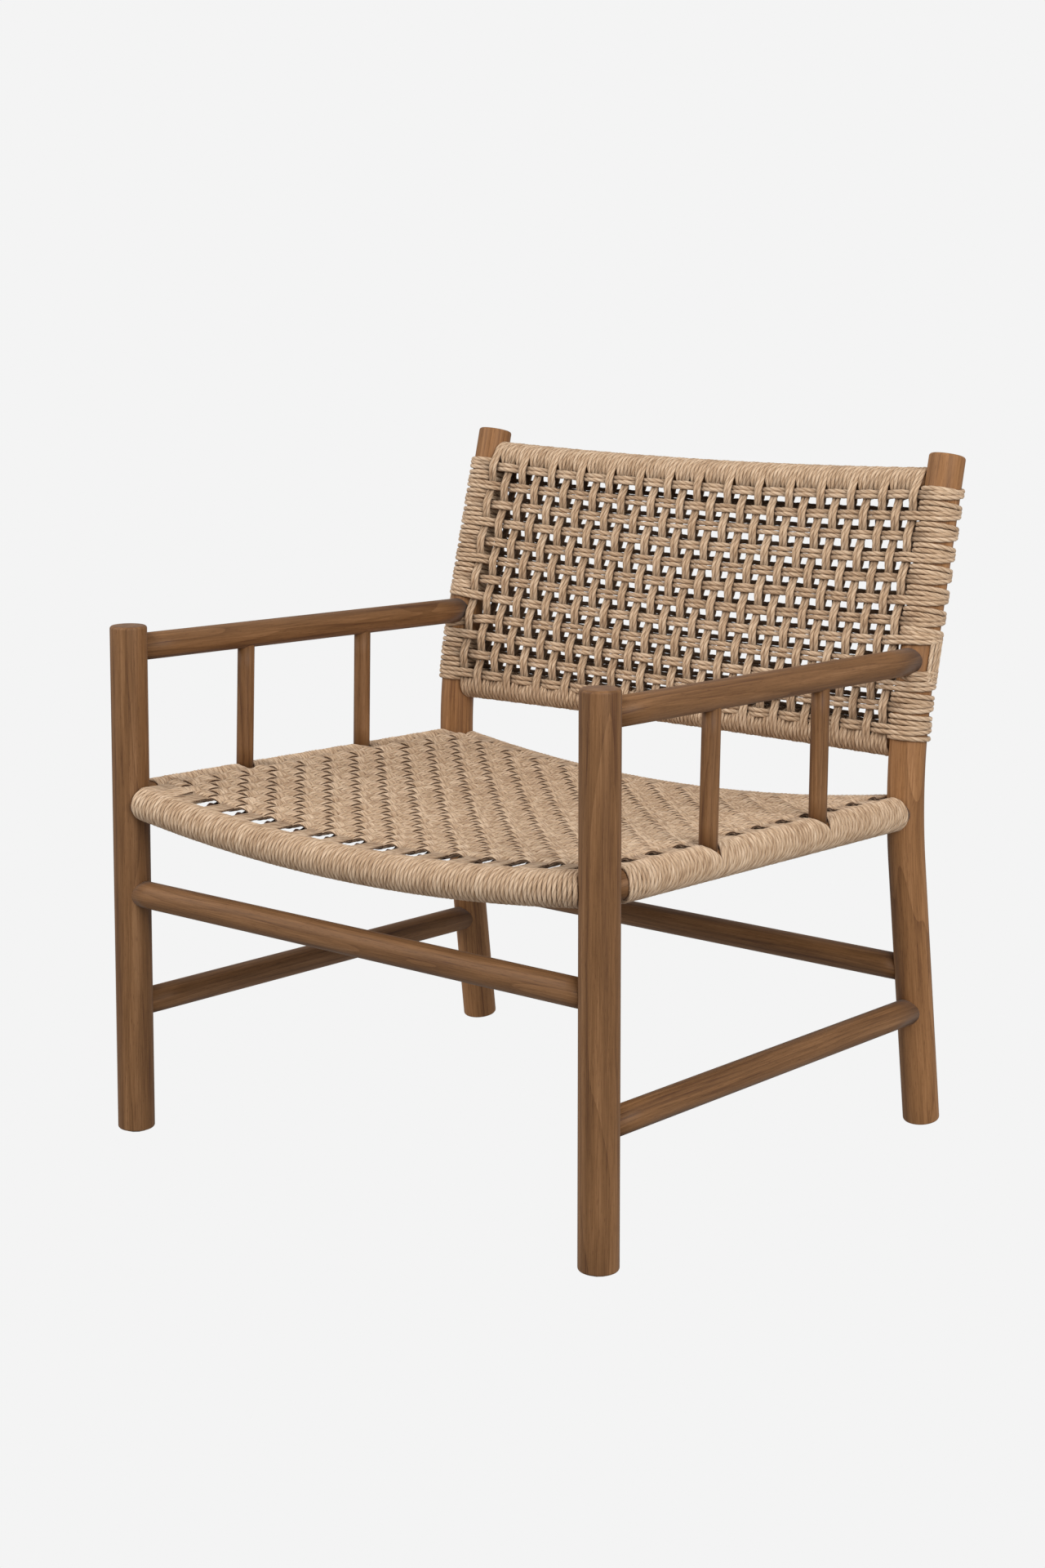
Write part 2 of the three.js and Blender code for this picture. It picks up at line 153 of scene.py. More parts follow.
def new_mesh(name, vertices, loops, sizes, attributes, material):
    """One smooth mesh object. Attributes are one value or one vector for each vertex."""
    mesh = bpy.data.meshes.new(name)
    mesh.vertices.add(len(vertices))
    mesh.vertices.foreach_set("co", np.asarray(vertices, np.float32).ravel())
    mesh.loops.add(len(loops))
    mesh.loops.foreach_set("vertex_index", np.asarray(loops, np.int32))
    mesh.polygons.add(len(sizes))
    starts = np.concatenate([[0], np.cumsum(sizes)[:-1]])
    mesh.polygons.foreach_set("loop_start", starts.astype(np.int32))
    mesh.polygons.foreach_set("use_smooth", np.ones(len(sizes), bool))
    for key, values in attributes.items():
        values = np.asarray(values, np.float32)
        if values.ndim == 1:
            mesh.attributes.new(key, "FLOAT", "POINT").data.foreach_set("value", values)
        else:
            layer = mesh.attributes.new(key, "FLOAT_VECTOR", "POINT")
            layer.data.foreach_set("vector", values.ravel())
    mesh.update(calc_edges=True)
    mesh.validate()
    mesh.materials.append(material)
    piece = bpy.data.objects.new(name, mesh)
    bpy.context.scene.collection.objects.link(piece)
    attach(piece, "root")
    return piece


def ring_faces(rings, sides, closed=False):
    """Corner lists of the quads between rings of vertices, with a cap at each open end."""
    first = np.arange(rings if closed else rings - 1)[:, None] * sides
    second = (first + sides) % (rings * sides)
    here = np.arange(sides)
    after = (here + 1) % sides
    quads = np.stack([first + here, first + after, second + after, second + here], -1)
    loops = [quads.reshape(-1)]
    sizes = [np.full(quads.shape[0] * sides, 4)]
    if not closed:
        loops += [here[::-1], here + (rings - 1) * sides]
        sizes.append(np.array([sides, sides]))
    return np.concatenate(loops), np.concatenate(sizes)


def frames_along(path, up):
    """Unit tangent, side and up vectors at each point of a path."""
    tangent = unit(np.gradient(path, axis=0))
    side = unit(np.cross(tangent, up))
    return tangent, side, np.cross(side, tangent)


# ---------- wooden rods ----------
ROD_SIDES = 56
EDGE_STEPS = 5


def cope(base, direction, leg_point, leg_axis, radius):
    """Slides each base point along direction until it lies on the leg's round surface."""
    offset = base - leg_point
    flat = offset - (offset @ leg_axis)[:, None] * leg_axis
    across = direction - (direction @ leg_axis) * leg_axis
    a = across @ across
    b = flat @ across
    c = (flat * flat).sum(1) - radius**2
    slide = (-b + np.sqrt(np.maximum(b * b - a * c, 0))) / a
    return base + slide[:, None] * direction


def wood_rod(name, path, up, radii, ends=(None, None)):
    """A round rod along a path. An end is None, or the leg's (point, axis) that it is coped to."""
    path = np.asarray(path, float)
    tangent, side, top = frames_along(path, np.asarray(up, float))
    angle = np.arange(ROD_SIDES) * 2 * math.pi / ROD_SIDES
    radii = np.broadcast_to(radii, len(path))[:, None, None]
    wheel = np.cos(angle)[:, None] * side[:, None] + np.sin(angle)[:, None] * top[:, None]
    rings = list(path[:, None] + radii * wheel)
    run = np.concatenate([[0], np.cumsum(np.linalg.norm(np.diff(path, axis=0), axis=1))])
    for end, leg in zip((0, -1), ends):
        if leg is None:
            continue
        out = tangent[0] if end == 0 else -tangent[-1]
        base = leg[0] + radii[end] * wheel[end]
        rings[end] = cope(base, out, np.asarray(leg[0]), np.asarray(leg[1]), LEG_R + 0.0002)
    rings = np.array(rings)
    inner = []
    for end in (0, -1):
        centre = rings[end].mean(0)
        inner.append(centre + (rings[end] - centre) * 0.4)
    rings = np.concatenate([inner[0][None], rings, inner[1][None]])
    loops, sizes = ring_faces(len(rings), ROD_SIDES)

    # Where each vertex lies in the plank: across, across, along.
    spin = rng.uniform(0, 2 * math.pi)
    shift = rng.uniform(-1, 1, 3) * (0.03, 0.03, 2.0)
    run = np.concatenate([[run[0]], run, [run[-1]]])
    reach = np.concatenate([[radii[0] * 0.4], radii, [radii[-1] * 0.4]])[:, :, 0]
    grain = np.stack(
        [
            reach * np.cos(angle + spin) + shift[0],
            reach * np.sin(angle + spin) + shift[1],
            np.repeat(run[:, None], ROD_SIDES, 1) + shift[2],
        ],
        -1,
    )
    # The back legs get a brighter copy of the wood, painted light.
    wood = PAINTED_LIGHT_WOOD if name.startswith("back_leg") else WOOD
    grain = {"grain": grain.reshape(-1, 3)}
    piece = new_mesh(name + "_wood", rings.reshape(-1, 3), loops, sizes, grain, wood)
    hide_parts(name)
    return piece


def rounded_profile(length, edge_low, edge_high, radius, steps=12):
    """Distances along a leg and the radii there, with a round edge at each end."""
    quarter = np.linspace(0, math.pi / 2, EDGE_STEPS + 1)
    first_run = edge_low * (1 - np.cos(quarter))
    first_r = radius - edge_low * (1 - np.sin(quarter))
    last_run = length - edge_high * (1 - np.sin(quarter))
    last_r = radius - edge_high * (1 - np.cos(quarter))
    between = np.linspace(edge_low, length - edge_high, steps + 2)[1:-1]
    run = np.concatenate([first_run, between, last_run])
    return run, np.concatenate([first_r, np.full(steps, radius), last_r])


# ---------- rope ----------
CORD_W = 0.0060
CORD_T = 0.0044
LAY = 0.038  # length in which a ply goes once round
ROPE_STEP = 0.0021
CORD_PLIES = 3
# Radius factors round a section: a groove and two shoulders for each ply.
SECTION = np.tile([0.86, 0.99, 0.99], CORD_PLIES)
CORD_SIDES = len(SECTION)
FIBRE_R = 0.0026  # radius at which the fibre pattern is read
FIBRE_STRETCH = 0.05  # how much longer than wide the fibre pattern is drawn


def smooth_path(points, ups, deep, edge, step, closed=False):
    """A Catmull-Rom curve through points, at even steps, with the other values carried along."""
    data = np.concatenate([points, ups, deep[:, None], edge[:, None]], 1)
    if closed:
        data = np.concatenate([data[-1:], data, data[:2]])
    else:
        data = np.concatenate([2 * data[:1] - data[1:2], data, 2 * data[-1:] - data[-2:-1]])
    a, b, c, d = (data[i : len(data) - 3 + i][:, None] for i in range(4))
    t = np.linspace(0, 1, 9)[:-1][None, :, None]
    curve = b + 0.5 * t * (c - a + t * (2 * a - 5 * b + 4 * c - d + t * (3 * (b - c) + d - a)))
    curve = curve.reshape(-1, 8)
    curve = np.concatenate([curve, curve[:1] if closed else data[-2:-1]])
    run = np.concatenate([[0], np.cumsum(np.linalg.norm(np.diff(curve[:, :3], axis=0), axis=1))])
    count = max(3, round(run[-1] / step))
    even = np.linspace(0, run[-1], count + 1)
    if closed:
        even = even[:-1]
    out = np.stack([np.interp(even, run, curve[:, k]) for k in range(8)], 1)
    return out[:, :3], out[:, 3:6], out[:, 6], out[:, 7], run[-1]


class Ropes:
    """Collects three-ply cords into one piece."""

    def __init__(self, name):
        self.name = name
        self.vertices, self.loops, self.sizes = [], [], []
        self.attributes = {"tone": [], "groove": [], "open": [], "deep": [], "fibre": []}
        self.count = 0

    def add(self, points, ups, closed=False, thickness=CORD_T, deep=None, panel=False, edge=None):
        """One cord. Painted shade darkens it where it dives under others, by the value given up to 1,
        and on its flanks where cords lie close together, more on the side named by edge, up to +1 or
        -1, a group's outer side. On the open panel of the back, the half facing the other layer gets
        painted shade."""
        points, ups = np.asarray(points, float), np.asarray(ups, float)
        deep = np.zeros(len(points)) if deep is None else deep
        edge = np.zeros(len(points)) if edge is None else edge
        path, up, deep, edge, length = smooth_path(points, ups, deep, edge, ROPE_STEP, closed)
        if closed:
            around = np.concatenate([path[-1:], path, path[:1]])
            tangent = unit(around[2:] - around[:-2])
            side = unit(np.cross(tangent, up))
            up = np.cross(side, tangent)
            turns = max(1, round(CORD_PLIES * length / LAY)) / CORD_PLIES
        else:
            tangent, side, up = frames_along(path, up)
            turns = length / LAY
        rings = len(path)
        share = np.arange(rings) / (rings if closed else rings - 1)
        ring = np.arange(CORD_SIDES) * 2 * math.pi / CORD_SIDES
        angle = -2 * math.pi * turns * share[:, None] + rng.uniform(0, 6) + ring
        across = 0.5 * CORD_W * SECTION * np.cos(angle)
        upward = 0.5 * thickness * SECTION * np.sin(angle)
        skin = path[:, None] + across[..., None] * side[:, None] + upward[..., None] * up[:, None]
        loops, sizes = ring_faces(rings, CORD_SIDES)
        if closed:
            # Close onto the first ring, turned by the whole plies that it has gone round.
            plies = round(CORD_PLIES * turns) % CORD_PLIES
            turned = plies * CORD_SIDES // CORD_PLIES
            last = (rings - 1) * CORD_SIDES
            here = np.arange(CORD_SIDES)
            after = (here + 1) % CORD_SIDES
            onto = [(after - turned) % CORD_SIDES, (here - turned) % CORD_SIDES]
            close = np.stack([last + here, last + after, *onto], -1)
            loops = np.concatenate([loops[: -2 * CORD_SIDES], close.reshape(-1)])
            sizes = np.concatenate([sizes[:-2], np.full(CORD_SIDES, 4)])
        self.vertices.append(skin.reshape(-1, 3))
        self.loops.append(loops + self.count)
        self.sizes.append(sizes)
        # Painted shade on the flanks, darker as open_side falls: where cords touch, more on a group's
        # outer side.
        rise = np.sin(angle)
        open_side = np.clip(rise + 0.35, 0, 1) if panel else np.abs(rise)
        open_side = open_side - 0.4 * np.clip(edge[:, None] * np.cos(angle), 0, 1)
        fibre = np.empty((rings, CORD_SIDES, 3))
        fibre[..., 0] = FIBRE_R * np.cos(ring)
        fibre[..., 1] = FIBRE_R * np.sin(ring)
        fibre[..., 2] = share[:, None] * length * FIBRE_STRETCH + rng.uniform(0, 1)
        self.attributes["tone"].append(np.full(rings * CORD_SIDES, rng.uniform(0, 1)))
        self.attributes["groove"].append(np.tile((SECTION < 0.9).astype(float), rings))
        self.attributes["open"].append(open_side.ravel())
        self.attributes["deep"].append(np.repeat(deep, CORD_SIDES))
        self.attributes["fibre"].append(fibre.reshape(-1, 3))
        self.count += rings * CORD_SIDES

    def build(self, *nodes):
        attributes = {key: np.concatenate(values) for key, values in self.attributes.items()}
        piece = new_mesh(
            self.name,
            np.concatenate(self.vertices),
            np.concatenate(self.loops),
            np.concatenate(self.sizes),
            attributes,
            CORD,
        )
        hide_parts(*nodes)
        return piece


# ---------- materials ----------


class Nodes:
    """A short way to write a material's node tree."""

    def __init__(self, name):
        self.material = bpy.data.materials.new(name)
        self.material.use_nodes = True
        self.tree = self.material.node_tree
        self.shader = self.tree.nodes["Principled BSDF"]

    def add(self, kind, inputs=None, **settings):
        node = self.tree.nodes.new(kind)
        for key, value in settings.items():
            setattr(node, key, value)
        for key, value in (inputs or {}).items():
            if isinstance(value, bpy.types.NodeSocket):
                self.tree.links.new(value, node.inputs[key])
            else:
                node.inputs[key].default_value = value
        return node

    def math(self, operation, a, b=0.0):
        return self.add("ShaderNodeMath", {0: a, 1: b}, operation=operation).outputs[0]

    def ramp(self, value, stops):
        node = self.add("ShaderNodeValToRGB", {0: value})
        ramp = node.color_ramp
        while len(ramp.elements) < len(stops):
            ramp.elements.new(0.5)
        for element, (position, colour) in zip(ramp.elements, stops):
            element.position = position
            element.color = (*colour, 1)
        return node.outputs[0]

    def mix(self, blend, factor, a, b):
        node = self.add("ShaderNodeMix", data_type="RGBA", blend_type=blend)
        for index, value in ((0, factor), (6, a), (7, b)):
            if isinstance(value, bpy.types.NodeSocket):
                self.tree.links.new(value, node.inputs[index])
            else:
                node.inputs[index].default_value = value
        return node.outputs[2]

    def plug(self, key, value):
        if isinstance(value, bpy.types.NodeSocket):
            self.tree.links.new(value, self.shader.inputs[key])
        else:
            self.shader.inputs[key].default_value = value


def srgb(red, green, blue, lift=1.0):
    """A display colour, 0 to 255, as linear values."""
    return tuple(lift * ((c / 255 + 0.055) / 1.055) ** 2.4 for c in (red, green, blue))


def wood_material(name, lift):
    n = Nodes(name)
    place = n.add("ShaderNodeAttribute", attribute_name="grain").outputs["Vector"]

    def stretched(scale, detail):
        """Noise with its own scale across and along the rod."""
        spot = n.add("ShaderNodeVectorMath", {0: place, 1: scale}, operation="MULTIPLY")
        noise = n.add("ShaderNodeTexNoise", {"Vector": spot.outputs[0], "Scale": 1.0, "Detail": detail})
        return noise

    # Growth rings, bent by a slow wander so that they run out in long points.
    wander = stretched((14, 14, 2.4), 2.0).outputs["Color"]
    bent = n.add(
        "ShaderNodeVectorMath", {0: wander, 1: (0.026, 0.026, 0.0), 2: place}, operation="MULTIPLY_ADD"
    )
    flat = n.add("ShaderNodeVectorMath", {0: bent.outputs[0], 1: (1, 1, 0.012)}, operation="MULTIPLY")
    distance = n.add("ShaderNodeVectorMath", {0: flat.outputs[0]}, operation="LENGTH")
    rings = n.math("FRACT", n.math("MULTIPLY", distance.outputs["Value"], 190.0))
    # Bands of tone, fine long streaks and short dark pores.
    band = stretched((90, 90, 4.0), 2.0).outputs[0]
    streak = stretched((900, 900, 20), 3.0).outputs[0]
    pores = stretched((1800, 1800, 90), 1.0).outputs[0]
    pores = n.add("ShaderNodeMath", {0: pores, 1: -9.0, 2: 3.5}, operation="MULTIPLY_ADD")
    pores.use_clamp = True
    tone = n.math("MULTIPLY", band, 0.50)
    tone = n.math("ADD", tone, n.math("MULTIPLY", n.math("POWER", rings, 2.5), -0.13))
    tone = n.math("ADD", tone, n.math("MULTIPLY", streak, 0.42))
    colour = n.ramp(
        tone,
        [
            (0.22, srgb(88, 55, 31, lift)),
            (0.38, srgb(116, 80, 47, lift)),
            (0.50, srgb(132, 93, 58, lift)),
            (0.66, srgb(154, 114, 77, lift)),
        ],
    )
    depth = n.math("MULTIPLY", pores.outputs[0], 0.5)
    colour = n.mix("MULTIPLY", depth, colour, (*srgb(150, 120, 96), 1))
    n.plug("Base Color", colour)
    n.plug("Roughness", n.math("ADD", n.math("MULTIPLY", streak, 0.2), 0.48))
    n.plug("Specular IOR Level", 0.28)
    n.plug("Sheen Weight", 0.05)
    n.plug("Sheen Roughness", 0.35)
    bump = n.add("ShaderNodeBump", {"Strength": 0.3, "Distance": 0.0004, "Height": streak})
    n.plug("Normal", bump.outputs[0])
    return n.material


def cord_material():
    n = Nodes("twisted_cord")
    tone = n.add("ShaderNodeAttribute", attribute_name="tone").outputs["Fac"]
    groove = n.add("ShaderNodeAttribute", attribute_name="groove").outputs["Fac"]
    open_side = n.add("ShaderNodeAttribute", attribute_name="open").outputs["Fac"]
    deep = n.add("ShaderNodeAttribute", attribute_name="deep").outputs["Fac"]
    along = n.add("ShaderNodeAttribute", attribute_name="fibre").outputs["Vector"]
    place = n.add("ShaderNodeTexCoord").outputs["Object"]
    fibre = n.add("ShaderNodeTexNoise", {"Vector": along, "Scale": 1500.0, "Detail": 2.0})
    cloud = n.add("ShaderNodeTexNoise", {"Vector": place, "Scale": 60.0, "Detail": 1.0})
    value = n.math("MULTIPLY", tone, 0.13)
    value = n.math("ADD", value, n.math("MULTIPLY", fibre.outputs[0], 0.75))
    value = n.math("ADD", value, n.math("MULTIPLY", cloud.outputs[0], 0.20))
    colour = n.ramp(
        value,
        [
            (0.33, srgb(145, 114, 86)),
            (0.50, srgb(193, 163, 132)),
            (0.74, srgb(224, 199, 171)),
        ],
    )
    # Painted shade in the grooves between the plies.
    line = n.math("MULTIPLY", n.math("POWER", groove, 2.0), 0.6)
    colour = n.mix("MULTIPLY", line, colour, (*srgb(142, 112, 84), 1))
    # Painted shade, down to the dark brown below: on flanks where cords lie close, and where a cord
    # dives under others.
    flank_shade = n.add("ShaderNodeMath", {0: open_side, 1: -2.6, 2: 0.85}, operation="MULTIPLY_ADD")
    flank_shade.use_clamp = True
    painted_shade = n.math("MAXIMUM", flank_shade.outputs[0], deep)
    n.plug("Base Color", n.mix("MULTIPLY", painted_shade, colour, (*srgb(92, 70, 52), 1)))
    n.plug("Roughness", 0.85)
    n.plug("Specular IOR Level", 0.2)
    n.plug("Sheen Weight", 0.1)
    n.plug("Sheen Roughness", 0.5)
    bump = n.add("ShaderNodeBump", {"Strength": 0.4, "Distance": 0.0003, "Height": fibre.outputs[0]})
    n.plug("Normal", bump.outputs[0])
    return n.material


def plastic_material():
    n = Nodes("moulded_plastic")
    place = n.add("ShaderNodeTexCoord").outputs["Object"]
    grit = n.add("ShaderNodeTexNoise", {"Vector": place, "Scale": 1500.0})
    n.plug("Base Color", n.ramp(grit.outputs[0], [(0.3, srgb(48, 40, 34)), (0.7, srgb(62, 53, 45))]))
    n.plug("Roughness", 0.55)
    bump = n.add("ShaderNodeBump", {"Strength": 0.2, "Distance": 0.0002, "Height": grit.outputs[0]})
    n.plug("Normal", bump.outputs[0])
    return n.material


WOOD = wood_material("oiled_wood", 0.93)
PAINTED_LIGHT_WOOD = wood_material("oiled_wood_painted_light", 1.38)  # a brighter copy of the same wood for the back legs: painted light
CORD = cord_material()
PLASTIC = plastic_material()

for end in ("front", "back"):
    for name in SIDES:
        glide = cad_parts[f"foot_glide_{end}_{name}"]
        glide.data.materials.clear()
        glide.data.materials.append(PLASTIC)

# ---------- the wooden frame ----------
FOOT_EDGE = 0.0030
TOP_EDGE = 0.0035
UP = np.array([0.0, 0.0, 1.0])
FORWARD = np.array([0.0, -1.0, 0.0])


def back_leg_point(sign, z):
    return np.array([sign * LEG_X, back_leg_y(z), z])


def back_leg_axis(z):
    step = 0.001
    return unit(back_leg_point(0, z + step) - back_leg_point(0, z - step))


for name, sign in SIDES.items():
    run, radii = rounded_profile(FRONT_LEG_TOP - WOOD_BOTTOM, FOOT_EDGE, TOP_EDGE, LEG_R)
    path = np.stack([np.full_like(run, sign * LEG_X), np.full_like(run, FRONT_Y), WOOD_BOTTOM + run], 1)
    wood_rod(f"front_leg_{name}", path, FORWARD, radii)

    run, radii = rounded_profile(BACK_TOP_Z - WOOD_BOTTOM, FOOT_EDGE, TOP_EDGE, LEG_R, steps=60)
    heights = WOOD_BOTTOM + run
    path = np.stack([np.full_like(run, sign * LEG_X), back_leg_y(heights), heights], 1)
    wood_rod(f"back_leg_{name}", path, FORWARD, radii)


def side_rod(node, sign, line):
    """A straight rod from a front leg to a back leg, coped to both."""
    steps = 12
    back_z = line.z(back_leg_y(line.z(BEND_Y)))
    back = back_leg_point(sign, back_z)
    front = np.array([sign * LEG_X, FRONT_Y, line.front_z])
    path = front + (back - front) * np.linspace(0.036, 0.964, steps)[:, None]
    ends = ((front, UP), (back, back_leg_axis(back_z)))
    wood_rod(node, path, UP, line.radius, ends)


def cross_rod(node, line, leg_axis, radius=ROD_R):
    """A rod between a left and a right leg, coped to both. line gives (y, z) at an x."""
    x = np.linspace(-(LEG_X - LEG_R), LEG_X - LEG_R, 41)
    y, z = line(x)
    path = np.stack([x, np.broadcast_to(y, x.shape), np.broadcast_to(z, x.shape)], 1)
    ends = []
    for sign, point in ((-1, path[0]), (1, path[-1])):
        ends.append((np.array([sign * LEG_X, point[1], point[2]]), leg_axis))
    wood_rod(node, path, UP, radius, ends)


def bent(rail):
    return lambda x: (rail.y(x), rail.z(x))


cross_rod("front_seat_rail", bent(front_rail), UP)
cross_rod("back_seat_rail", bent(back_rail), back_leg_axis(back_rail.end_z))
cross_rod("back_top_rail", bent(top_rail), back_leg_axis(top_rail.end_z))
cross_rod("back_bottom_rail", bent(bottom_rail), back_leg_axis(bottom_rail.end_z))
cross_rod("front_stretcher", lambda x: (FRONT_Y, front_stretcher_z), UP)
cross_rod(
    "back_stretcher",
    lambda x: (back_leg_y(back_stretcher_z), back_stretcher_z),
    back_leg_axis(back_stretcher_z),
)

spindle_feet = []
for name, sign in SIDES.items():
    side_rod(f"side_seat_rail_{name}", sign, side_rail)
    side_rod(f"armrest_{name}", sign, arm)
    side_rod(f"side_stretcher_{name}", sign, side_stretcher)
    for which in ("front", "rear"):
        node = f"spindle_{which}_{name}"
        foot_y, top_y = low(node)[1] + SPINDLE_R, high(node)[1] - SPINDLE_R
        foot = np.array([sign * LEG_X, foot_y, side_rail.z(foot_y) + 0.010])
        top = np.array([sign * LEG_X, top_y, arm.z(top_y) - 0.010])
        wood_rod(node, np.linspace(foot, top, 6), FORWARD, SPINDLE_R)
        if sign > 0:
            spindle_feet.append(foot_y)

# ---------- woven seat ----------
CORDS = 4  # running side by side in a group
WARP_GROUPS = 28  # front to back
WEFT_GROUPS = 22  # side to side
WARP_LOW, WARP_HIGH = low("seat_wrap_front")[0], high("seat_wrap_front")[0]
WEFT_LOW, WEFT_HIGH = low("seat_wrap_left")[1], high("seat_wrap_left")[1]
WARP_PITCH = (WARP_HIGH - WARP_LOW) / WARP_GROUPS
WEFT_PITCH = (WEFT_HIGH - WEFT_LOW) / WEFT_GROUPS
SEAT_WAVE = 0.0033  # how far the cords rise and dip
CLOSE = 0.93  # how tightly the cords of a group are drawn together
SPREAD = 0.10  # share by which a lengthwise group widens, and a crosswise one narrows, on top
WRAP = ROD_R + CORD_T / 2  # rail axis to the middle of a cord wound on it
SPINDLE_ROOM = SPINDLE_R + 0.0025
# How far the last turns at the front corners lean towards the legs.
LEAN_RIGHT = 0.009
LEAN_LEFT = 0.002
LEAN_FRONT = 0.0068


def seat_z(x, y):
    """The middle of the woven seat, ruled between the sagging front and back rails."""
    share = (y - front_rail.end_y) / (back_rail.end_y - front_rail.end_y)
    return front_rail.z(x) * (1 - share) + back_rail.z(x) * share + WRAP


def hook(over, centre, outward):
    """Points and ups of a cord round a rail, ending where it leaves for the seat.

    An over cord leaves from the top of the rail, and any other from its underside."""
    degrees = np.arange(395, 85, -15) if over else np.arange(-15, 316, 15)
    angle = np.radians(degrees)
    direction = -np.cos(angle)[:, None] * outward + np.sin(angle)[:, None] * UP
    points = centre + WRAP * direction
    outside = np.clip(-np.cos(angle), 0, 1) ** 2
    if outward[1] < 0:
        near_right = np.clip((centre[0] - 0.24) / 0.09, 0, 1) ** 2
        near_left = np.clip((-centre[0] - 0.28) / 0.05, 0, 1)
        points[:, 0] += (LEAN_RIGHT * near_right - LEAN_LEFT * near_left) * outside
    elif outward[1] == 0:
        near_front = np.clip((WEFT_LOW + 0.06 - centre[1]) / 0.06, 0, 1) ** 2
        points[:, 1] -= LEAN_FRONT * near_front * outside
    return points, direction


def weave_run(over_first, centres, pitch):
    """Places along a cord and its height there as it goes over and under the other groups."""
    places, heights = [], []
    sign = 1 if over_first else -1
    for centre in centres:
        for offset, height in ((-0.5, 0.0), (-0.27, 0.70), (0.0, 1.0), (0.27, 0.70)):
            places.append(centre + offset * pitch)
            heights.append(sign * height * SEAT_WAVE)
        sign = -sign
    places, heights = np.array(places), np.array(heights)
    over_last = (sign < 0)
    places = np.append(places, centres[-1] + 0.5 * pitch)
    heights = np.append(heights, 0)
    # On the way to a rail's underside a cord already runs low under its last group.
    if not over_first:
        heights[:4] -= (0.0060, 0.0040, 0.0024, 0.0010)
    if not over_last:
        heights[-4:] -= (0.0010, 0.0024, 0.0040, 0.0060)
    return places, heights, over_last


def jitter(count, size):
    """A slow, small sideways wander along a cord."""
    knots = rng.normal(0, size, max(4, count // 6))
    return np.interp(np.linspace(0, 1, count), np.linspace(0, 1, len(knots)), knots)


def part_round_spindles(points):
    """Pushes cords that lie on top of a side rail away from the spindles' feet."""
    height = points[:, 2] - side_rail.z(points[:, 1]) - WRAP
    away = np.hypot(np.abs(points[:, 0]) - LEG_X, height)
    weight = np.clip(1.15 - away / 0.022, 0, 1)
    weight = weight * weight * (3 - 2 * weight)
    for foot_y in spindle_feet:
        distance = points[:, 1] - foot_y
        near = np.clip(1.8 - np.abs(distance) / 0.03, 0, 1)
        pushed = np.sign(distance) * np.hypot(distance, SPINDLE_ROOM * weight * near)
        points[:, 1] = np.where(weight > 0, foot_y + pushed, points[:, 1])
    return points


weft_centres = WEFT_LOW + (np.arange(WEFT_GROUPS) + 0.5) * WEFT_PITCH
warp_centres = WARP_LOW + (np.arange(WARP_GROUPS) + 0.5) * WARP_PITCH


def seat_cord(ropes, over, over_last, rails, outward, run, height, edge):
    """One cord of the seat: round a rail, across the weave and round the opposite rail."""
    start, start_up = hook(over, rails[0], outward)
    finish, finish_up = hook(over_last, rails[1], -outward)
    points = part_round_spindles(np.concatenate([start, run, finish[::-1]]))
    start_up = start_up if over else -start_up
    finish_up = finish_up if over_last else -finish_up
    ups = np.concatenate([start_up, np.tile(UP, (len(run), 1)), finish_up[::-1]])
    # Painted shade where it dives under other cords, and along the outer flanks of its group.
    values = np.zeros((len(points), 2))
    woven = slice(len(start), len(start) + len(run))
    values[woven, 0] = np.clip(0.3 - 1.6 * height / SEAT_WAVE, 0, 1)
    values[woven, 1] = edge
    ropes.add(points, ups, deep=values[:, 0], edge=values[:, 1])


RIGHTWARD = np.array([1.0, 0.0, 0.0])
OFFSETS = (np.arange(CORDS) - (CORDS - 1) / 2) / CORDS
SEAT_PIECES = 4
for part in range(SEAT_PIECES):
    ropes = Ropes(f"seat_cords_lengthwise_{part + 1}")
    first, last = (round(p * WARP_GROUPS / SEAT_PIECES) for p in (part, part + 1))
    for group in range(first, last):
        over = group % 2 == 0
        for cord, offset in enumerate(OFFSETS):
            y, height, over_last = weave_run(over, weft_centres, WEFT_PITCH)
            if group == 1:
                # Beside the corner there is no opening, because this group leaves from the top.
                height[:4] = (0.0025, -0.0005, -0.0030, -0.0025)
            x = warp_centres[group] + offset * WARP_PITCH
            spread = CLOSE - 1 + SPREAD * height / SEAT_WAVE
            close = x + spread * offset * WARP_PITCH + jitter(len(y), 0.0003)
            run = np.stack([close, y, seat_z(x, y) + height], 1)
            rails = [np.array([x, rail.y(x), rail.z(x)]) for rail in (front_rail, back_rail)]
            # The outer cords of a group get more painted shade on their outer flanks.
            edge = {0: -0.8, CORDS - 1: 0.8}.get(cord, 0)
            seat_cord(ropes, over or group == 1, over_last, rails, FORWARD, run, height, edge)
    ropes.build("seat_web", "seat_wrap_front", "seat_wrap_back")

for part in range(SEAT_PIECES):
    ropes = Ropes(f"seat_cords_crosswise_{part + 1}")
    first, last = (round(p * WEFT_GROUPS / SEAT_PIECES) for p in (part, part + 1))
    for group in range(first, last):
        over = group % 2 == 1
        for cord, offset in enumerate(OFFSETS):
            x, height, over_last = weave_run(over, warp_centres, WARP_PITCH)
            y = weft_centres[group] + offset * WEFT_PITCH
            spread = CLOSE - 1 - SPREAD * height / SEAT_WAVE
            close = y + spread * offset * WEFT_PITCH + jitter(len(x), 0.0003)
            run = np.stack([x, close, seat_z(x, y) + height], 1)
            rails = [np.array([sign * LEG_X, y, side_rail.z(y)]) for sign in (-1, 1)]
            # The outer cords of a group get more painted shade on their outer flanks.
            edge = {0: 0.7, CORDS - 1: -0.7}.get(cord, 0)
            seat_cord(ropes, over, over_last, rails, -RIGHTWARD, run, height, edge)
    ropes.build("seat_web", "seat_wrap_left", "seat_wrap_right")

